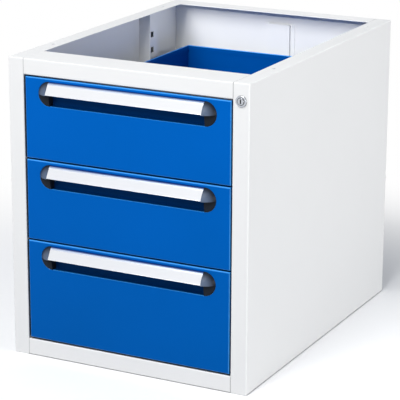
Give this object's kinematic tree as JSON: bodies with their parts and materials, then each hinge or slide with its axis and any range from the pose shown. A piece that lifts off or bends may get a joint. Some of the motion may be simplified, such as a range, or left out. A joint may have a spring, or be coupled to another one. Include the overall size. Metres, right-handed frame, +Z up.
{
  "type": "under-bench drawer cabinet",
  "caption": "Steel drawer cabinet with an open flanged top for fastening under a bench, full-extension drawers with long recessed handles and a central lock.",
  "frame": {"origin": "middle of the footprint, handles included, on the floor", "axes": "+Z up, drawers open towards -Y, +X to the right seen from the front"},
  "size_m": [0.46, 0.635, 0.54],
  "materials": {
    "white_paint": "fine satin powder coat, light grey-white",
    "blue_paint": "satin powder coat, strong blue",
    "zinc_steel": "bright zinc plate",
    "handle_aluminium": "satin extrusion",
    "label_film": "plain white strip, smooth",
    "dark_plastic": "moulded dark grey, glossy",
    "chrome": "polished",
    "guide_plastic": "moulded black"
  },
  "bodies": {
    "cabinet": {"left_side_panel": "white_paint", "right_side_panel": "white_paint", "top_rail": "white_paint", "bottom_rail": "white_paint", "back_panel": "white_paint", "back_stiffener": "white_paint", "floor_panel": "white_paint", "front_upright_left": "white_paint", "front_upright_right": "white_paint", "rear_upright_left": "white_paint", "rear_upright_right": "white_paint", "slide_fixed_member_1_left": "zinc_steel", "slide_fixed_member_1_right": "zinc_steel", "slide_fixed_member_2_left": "zinc_steel", "slide_fixed_member_2_right": "zinc_steel", "slide_fixed_member_3_left": "zinc_steel", "slide_fixed_member_3_right": "zinc_steel", "lock_housing": "chrome", "lock_nut": "zinc_steel", "lock_bar_guides": "guide_plastic"},
    "drawer_1": {"drawer_front_1": "blue_paint", "drawer_tray_1": "blue_paint", "handle_rail_1": "handle_aluminium", "label_strip_1": "label_film", "handle_end_caps_1": "dark_plastic", "lock_catch_1": "zinc_steel", "drawer_fasteners_1": "zinc_steel", "slide_drawer_member_1_left": "zinc_steel", "slide_drawer_member_1_right": "zinc_steel"},
    "slide_middle_1": {"slide_middle_member_1_left": "zinc_steel", "slide_middle_member_1_right": "zinc_steel", "slide_ball_cages_1": "zinc_steel"},
    "drawer_2": {"drawer_front_2": "blue_paint", "drawer_tray_2": "blue_paint", "handle_rail_2": "handle_aluminium", "label_strip_2": "label_film", "handle_end_caps_2": "dark_plastic", "lock_catch_2": "zinc_steel", "drawer_fasteners_2": "zinc_steel", "slide_drawer_member_2_left": "zinc_steel", "slide_drawer_member_2_right": "zinc_steel"},
    "slide_middle_2": {"slide_middle_member_2_left": "zinc_steel", "slide_middle_member_2_right": "zinc_steel", "slide_ball_cages_2": "zinc_steel"},
    "drawer_3": {"drawer_front_3": "blue_paint", "drawer_tray_3": "blue_paint", "handle_rail_3": "handle_aluminium", "label_strip_3": "label_film", "handle_end_caps_3": "dark_plastic", "lock_catch_3": "zinc_steel", "drawer_fasteners_3": "zinc_steel", "slide_drawer_member_3_left": "zinc_steel", "slide_drawer_member_3_right": "zinc_steel"},
    "slide_middle_3": {"slide_middle_member_3_left": "zinc_steel", "slide_middle_member_3_right": "zinc_steel", "slide_ball_cages_3": "zinc_steel"},
    "lock_core": {"lock_plug": "chrome", "lock_cam": "zinc_steel"},
    "lock_bar": {"lock_bar": "zinc_steel", "lock_bar_tabs": "zinc_steel"}
  },
  "joints": [
    {"name": "drawer_1_slide", "type": "slide", "parent": "cabinet", "child": "drawer_1", "axis": [0, -1, 0], "range_m": [0, 0.54]},
    {"name": "middle_1_slide", "type": "slide", "parent": "cabinet", "child": "slide_middle_1", "axis": [0, -1, 0], "range_m": [0, 0.27]},
    {"name": "drawer_2_slide", "type": "slide", "parent": "cabinet", "child": "drawer_2", "axis": [0, -1, 0], "range_m": [0, 0.54]},
    {"name": "middle_2_slide", "type": "slide", "parent": "cabinet", "child": "slide_middle_2", "axis": [0, -1, 0], "range_m": [0, 0.27]},
    {"name": "drawer_3_slide", "type": "slide", "parent": "cabinet", "child": "drawer_3", "axis": [0, -1, 0], "range_m": [0, 0.54]},
    {"name": "middle_3_slide", "type": "slide", "parent": "cabinet", "child": "slide_middle_3", "axis": [0, -1, 0], "range_m": [0, 0.27]},
    {"name": "lock_turn", "type": "hinge", "parent": "cabinet", "child": "lock_core", "pos_m": [0.215, -0.3025, 0.51], "axis": [0, 1, 0], "range_deg": [0, 90]},
    {"name": "lock_bar_slide", "type": "slide", "parent": "cabinet", "child": "lock_bar", "axis": [0, 0, 1], "range_m": [0, 0.012]}
  ],
  "couplings": [
    {"joint": "middle_1_slide", "follows": "drawer_1_slide", "ratio": 0.5},
    {"joint": "middle_2_slide", "follows": "drawer_2_slide", "ratio": 0.5},
    {"joint": "middle_3_slide", "follows": "drawer_3_slide", "ratio": 0.5},
    {"joint": "lock_turn", "follows": "lock_bar_slide", "rad_per_m": 130.9}
  ]
}
